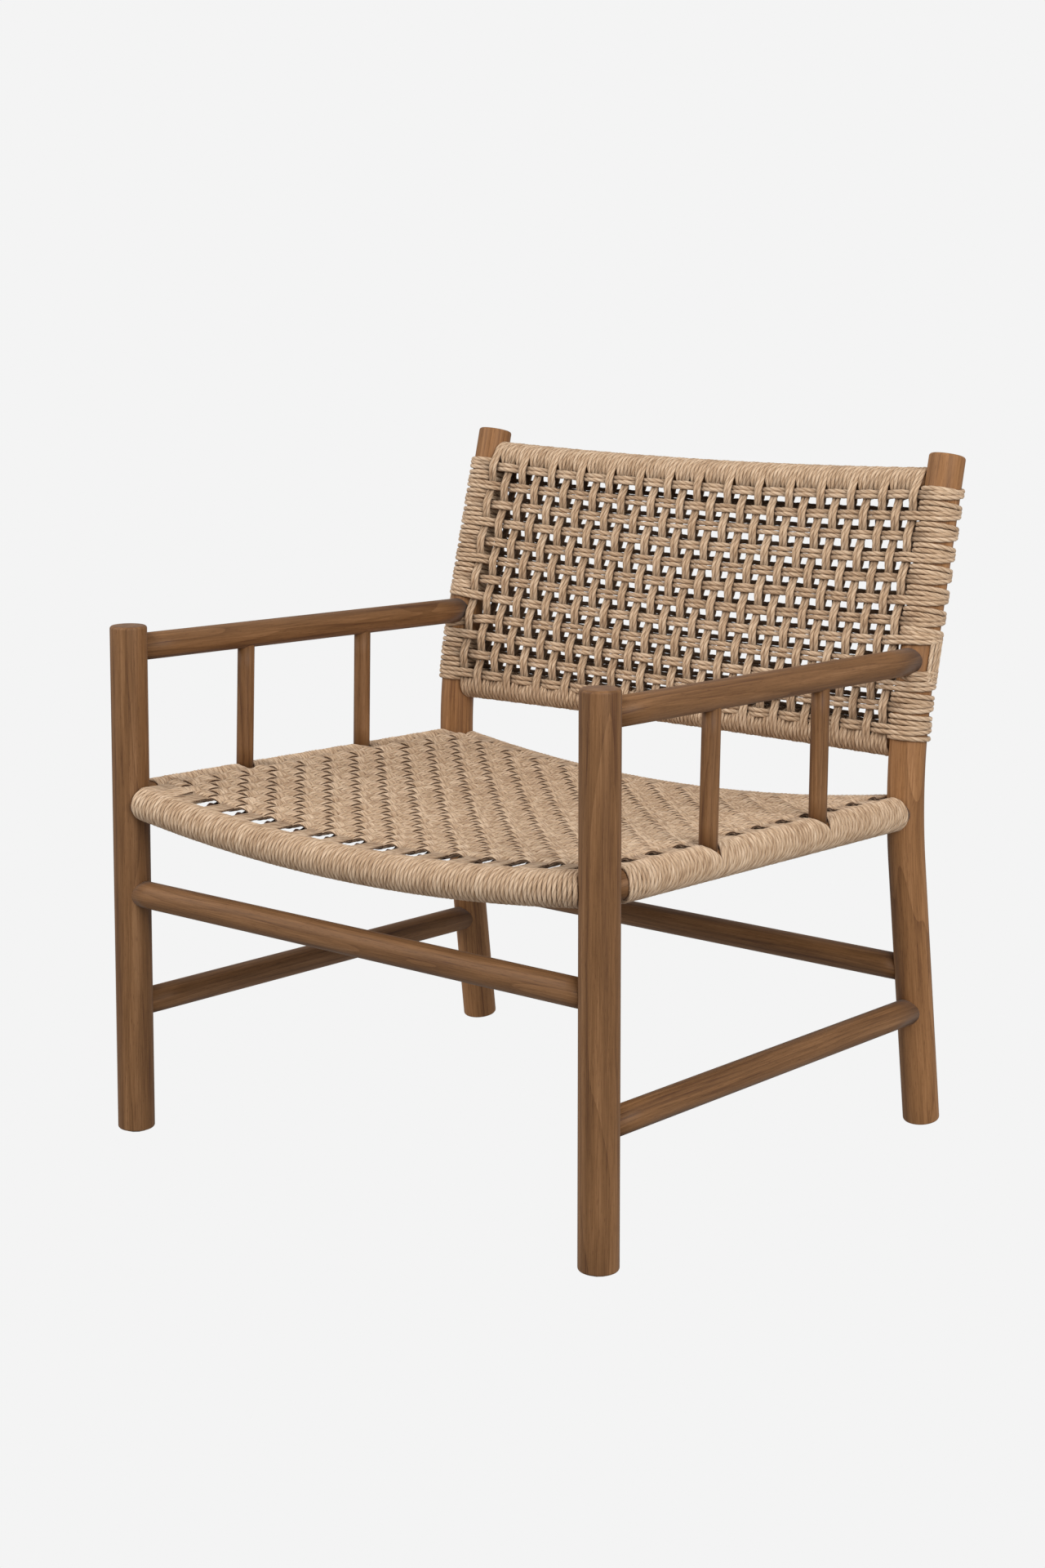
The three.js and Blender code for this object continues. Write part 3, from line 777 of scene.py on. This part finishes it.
# ---------- woven back ----------
COLUMNS = 29
ROWS = 12
COLUMN_PITCH = 0.02357
COLUMN_X = (np.arange(COLUMNS) - (COLUMNS - 1) / 2) * COLUMN_PITCH
TOP_ROW_Z = high("post_wrap_left")[2] - 0.010
BOTTOM_ROW_Z = low("post_wrap_left")[2] + 0.011
ROW_Z = np.linspace(TOP_ROW_Z, BOTTOM_ROW_Z, ROWS)
ROW_SAG = np.linspace(0.010, 0.006, ROWS)
REAR_SHIFT = 0.005 * np.abs(np.linspace(-1, 1, ROWS)) ** 1.5  # rear rows above the front ones
BACK_WAVE = 0.0028
BACK_T = 0.0050
POST_WRAP = LEG_R + CORD_T / 2
PAIR_GAP = 0.0056


def back_point(x, z, offset):
    """A point of the back, offset forwards from the bowed surface through the rails' axes."""
    share = (z - bottom_rail.end_z) / (top_rail.end_z - bottom_rail.end_z)
    bow = bottom_rail.bow + (top_rail.bow - bottom_rail.bow) * share
    slope = (back_leg_y(z + 0.001) - back_leg_y(z - 0.001)) / 0.002
    scale = 1 / np.sqrt(1 + slope**2)
    y = back_leg_y(z) + bow * dip(x) - offset * scale
    return np.stack(np.broadcast_arrays(x, y, z + offset * slope * scale), -1)


def panel_offset(x):
    """Forward offset of the front layer: the rails' tangent in the middle, the posts' at the ends."""
    return WRAP + (POST_WRAP - WRAP) * np.abs(x / LEG_X) ** 6


def panel_normal(z):
    slope = (back_leg_y(z + 0.001) - back_leg_y(z - 0.001)) / 0.002
    normal = np.stack(np.broadcast_arrays(0 * z, -1 + 0 * z, slope), -1)
    return unit(normal)


def level_lift(z, offset):
    """How much higher a level loop lies in the rear layer, in heights along the posts."""
    slope = (back_leg_y(z + 0.001) - back_leg_y(z - 0.001)) / 0.002
    return 2 * offset * slope / np.sqrt(1 + slope**2)


def row_z(row, x):
    return ROW_Z[row] - ROW_SAG[row] * dip(x)


def rail_arc(rail, x, start, stop, radius=WRAP):
    """Points and ups round a back rail, in degrees from the front over the top."""
    angle = np.radians(np.linspace(start, stop, 2 + int(abs(stop - start) / 18)))
    tilt = math.atan(HIGH_SLOPE)
    centre = np.array([x, rail.y(x), rail.z(x)])
    direction = np.stack(
        [np.zeros_like(angle), -np.cos(angle + tilt), np.sin(angle + tilt)], -1
    )
    return centre + radius * direction, direction


# Columns: each pair of cords runs up the front, over the top rail, down the back and under.
for part, name in enumerate(("left", "right")):
    ropes = Ropes(f"back_cords_upright_{name}")
    columns = range(0, 15) if part == 0 else range(15, COLUMNS)
    for column in columns:
        pair_lean = jitter(2 * ROWS - 1, 0.0006)
        for cord in (-0.5, 0.5):
            x = COLUMN_X[column] + cord * PAIR_GAP
            rows = np.arange(ROWS - 1, -1, -1)
            z = row_z(rows, x)
            over = np.where((rows + column) % 2 == 0, 1.0, -1.0)
            between = (z[1:] + z[:-1]) / 2
            heights = np.empty(2 * ROWS - 1)
            heights[0::2], heights[1::2] = z, between
            wave = np.zeros(2 * ROWS - 1)
            wave[0::2] = over * BACK_WAVE
            lean = pair_lean + jitter(len(heights), 0.0002)
            front = back_point(x + lean, heights, panel_offset(x) + wave)
            rear = back_point(x + lean[::-1], heights[::-1], -panel_offset(x) + wave[::-1])
            top, top_up = rail_arc(top_rail, x, 10, 160)
            bottom, bottom_up = rail_arc(bottom_rail, x, 190, 345)
            points = np.concatenate([front, top, rear, bottom])
            front_up = panel_normal(heights)
            ups = np.concatenate([front_up, top_up, -front_up[::-1], bottom_up])
            # Painted shade where the pair dives under the crossing cords; panel=True also paints shade
            # on the half facing the other layer.
            under = np.clip(0.35 - 0.9 * wave / BACK_WAVE, 0, 1) * 0.6
            deep = np.concatenate([under, 0 * top[:, 0], under[::-1], 0 * bottom[:, 0]])
            ropes.add(points, ups, closed=True, thickness=BACK_T, deep=deep, panel=True)
    ropes.build("back_web_front", "back_web_rear")

# Rows: each pair runs across the front, round one post, across behind and round the other.
ARM_POST_Z = arm.z(back_leg_y(arm.z(BEND_Y)))
ARM_NOTCH = ARM_R + 0.0045


def post_arc(sign, z, start, stop, lift=0.0):
    """Points and ups round a post's outer side, in degrees from the front."""
    angle = np.radians(np.linspace(start, stop, 2 + int(abs(stop - start) / 18)))
    axis = back_leg_axis(z)
    front = np.cross(np.array([1.0, 0, 0]), axis)
    front = front if front[1] < 0 else -front
    direction = np.cos(angle)[:, None] * front + sign * np.sin(angle)[:, None] * RIGHTWARD
    rise = lift * (1 - np.cos(angle)) / 2
    return back_leg_point(sign, z) + rise[:, None] * axis + POST_WRAP * direction, direction


def post_z(z):
    """Height at the post of a row: those at the arm move clear of it."""
    gap = z - ARM_POST_Z
    return z if abs(gap) > ARM_NOTCH else ARM_POST_Z + math.copysign(ARM_NOTCH, gap)


row_heights_on_posts = []
for part, name in enumerate(("upper", "lower")):
    ropes = Ropes(f"back_cords_level_{name}")
    for row in range(part * ROWS // 2, (part + 1) * ROWS // 2):
        pair_lean = jitter(2 * COLUMNS - 1, 0.0005)
        for cord in (0.5, -0.5):
            shift = cord * PAIR_GAP
            x = np.concatenate([COLUMN_X, (COLUMN_X[1:] + COLUMN_X[:-1]) / 2])
            order = np.argsort(x)
            x = x[order]
            over = np.concatenate(
                [np.where((row + np.arange(COLUMNS)) % 2 == 0, -1.0, 1.0), np.zeros(COLUMNS - 1)]
            )[order]
            at_post = post_z(ROW_Z[row]) + shift
            blend = np.abs(x / LEG_X) ** 10
            z = (row_z(row, x) + shift) * (1 - blend) + at_post * blend
            z = z + pair_lean + jitter(len(x), 0.0002)
            front = back_point(x, z, panel_offset(x) + over * BACK_WAVE)
            lift = level_lift(z, panel_offset(x)) + REAR_SHIFT[row] * dip(x)
            rear = back_point(x, z + lift, -panel_offset(x) + over * BACK_WAVE)[::-1]
            lift = level_lift(at_post, POST_WRAP)
            right, right_up = post_arc(1, at_post, 12, 168, lift)
            left, left_up = post_arc(-1, at_post, 168, 12, lift)
            points = np.concatenate([front, right, rear, left])
            normal = panel_normal(z)
            ups = np.concatenate([normal, right_up, -normal[::-1], left_up])
            # Painted shade where the pair dives under the crossing cords; panel=True also paints shade
            # on the half facing the other layer.
            under = np.clip(0.35 - 0.9 * over, 0, 1) * 0.6
            deep = np.concatenate([under, 0 * right[:, 0], under[::-1], 0 * left[:, 0]])
            ropes.add(points, ups, closed=True, thickness=BACK_T, deep=deep, panel=True)
            row_heights_on_posts.append(at_post)
    ropes.build("back_web_front", "back_web_rear")

# ---------- cord wound on the back rails and posts ----------


def wind_rail(name, rail, node):
    """Two turns between each pair of columns, and on to the posts at the ends."""
    ropes = Ropes(name)
    pitch = COLUMN_PITCH / 4
    turns = np.arange(-(COLUMNS * 4 // 2) - 1, COLUMNS * 4 // 2 + 2) * pitch + pitch / 2
    for x in turns:
        column = np.round((x - COLUMN_X[0]) / COLUMN_PITCH)
        near = abs(x - COLUMN_X[0] - column * COLUMN_PITCH) < 0.8 * pitch
        if near and 0 <= column < COLUMNS or abs(x) > LEG_X - LEG_R - 0.001:
            continue
        points, ups = rail_arc(rail, x, 0, 340)
        points[:, 0] += rng.uniform(-0.0002, 0.0002)
        ropes.add(points, ups, closed=True)
    ropes.build(node)


POST_PITCH = 0.0058  # between the turns round a post
wind_rail("back_winding_top", top_rail, "back_wrap_top")
wind_rail("back_winding_bottom", bottom_rail, "back_wrap_bottom")

for name, sign in SIDES.items():
    ropes = Ropes(f"post_winding_{name}")
    stretches = (
        (ARM_POST_Z + ARM_NOTCH, high("post_wrap_left")[2]),
        (low("post_wrap_left")[2], ARM_POST_Z - ARM_NOTCH),
    )
    for bottom, top in stretches:
        rows_here = sorted({round(z, 5) for z in row_heights_on_posts if bottom < z < top})
        marks = [bottom - POST_PITCH / 2, *rows_here, top + POST_PITCH / 2]
        for below, above in zip(marks, marks[1:]):
            turns = round((above - below) / POST_PITCH) - 1
            for turn in range(turns):
                z = below + (turn + 1) * (above - below) / (turns + 1)
                points, ups = post_arc(sign, z, 0, 342)
                ropes.add(points, ups, closed=True)
    # Short cords bridge the gap at the arm, on the outside and back of the post.
    for degrees in np.linspace(70, 150, 6):
        heights = np.linspace(ARM_POST_Z - ARM_NOTCH - 0.004, ARM_POST_Z + ARM_NOTCH + 0.004, 7)
        arcs = [post_arc(sign, z, degrees, degrees + 1) for z in heights]
        ropes.add([a[0][0] for a in arcs], [a[1][0] for a in arcs])
    ropes.build(f"post_wrap_{name}")

# ---------- floor, light, camera ----------
PALE = srgb(244, 244, 244)
AMBIENT = 0.55  # share of the backdrop's brightness that lights the chair

floor_mesh = bpy.data.meshes.new("floor")
reach = 30.0
floor_mesh.from_pydata(
    [(-reach, -reach, 0), (reach, -reach, 0), (reach, reach, 0), (-reach, reach, 0)],
    [],
    [(0, 1, 2, 3)],
)
floor = bpy.data.objects.new("floor", floor_mesh)
bpy.context.scene.collection.objects.link(floor)
paper = Nodes("pale_floor")
paper.plug("Base Color", (0, 0, 0, 1))
paper.plug("Specular IOR Level", 0.0)
paper.plug("Roughness", 1.0)
paper.plug("Emission Color", (*PALE, 1))
seen = paper.add("ShaderNodeLightPath").outputs["Is Camera Ray"]
paper.plug("Emission Strength", paper.math("ADD", paper.math("MULTIPLY", seen, 0.55), 0.45))
floor_mesh.materials.append(paper.material)

world = bpy.data.worlds.new("studio")
bpy.context.scene.world = world
world.use_nodes = True
sky = world.node_tree.nodes["Background"]
sky.inputs["Color"].default_value = (*PALE, 1)
seen = world.node_tree.nodes.new("ShaderNodeLightPath").outputs["Is Camera Ray"]
dim = world.node_tree.nodes.new("ShaderNodeMath")
dim.operation = "MULTIPLY_ADD"
dim.inputs[1].default_value = 1 - AMBIENT
dim.inputs[2].default_value = AMBIENT
world.node_tree.links.new(seen, dim.inputs[0])
world.node_tree.links.new(dim.outputs[0], sky.inputs["Strength"])


def soft_light(name, place, target, size, power):
    data = bpy.data.lights.new(name, "AREA")
    data.shape = "RECTANGLE"
    data.size, data.size_y = size
    data.energy = power
    light = bpy.data.objects.new(name, data)
    light.location = place
    light.rotation_euler = (Vector(target) - Vector(place)).to_track_quat("-Z", "Y").to_euler()
    bpy.context.scene.collection.objects.link(light)


soft_light("key", (-1.8, -2.6, 2.8), (0, 0, 0.4), (2.4, 2.4), 78)
soft_light("side", (2.9, -1.2, 2.2), (0, 0, 0.4), (2.0, 2.0), 84)

camera_data = bpy.data.cameras.new("camera")
camera = bpy.data.objects.new("camera", camera_data)
bpy.context.scene.collection.objects.link(camera)
camera_data.sensor_fit = "VERTICAL"
camera_data.sensor_height = 36
camera_data.lens = 61.2
camera_data.shift_y = -0.1485
camera_data.shift_x = -0.0008
camera_data.clip_end = 100
camera.location = (2.004, -2.0922 + FRONT_Y, 1.0490 + WOOD_BOTTOM)
AZIMUTH = math.radians(39.91)
PITCH = math.radians(6.42)
forward = Vector(
    (-math.sin(AZIMUTH) * math.cos(PITCH), math.cos(AZIMUTH) * math.cos(PITCH), -math.sin(PITCH))
)
camera.rotation_euler = forward.to_track_quat("-Z", "Y").to_euler()
bpy.context.scene.camera = camera
bpy.context.scene.view_settings.view_transform = "Standard"
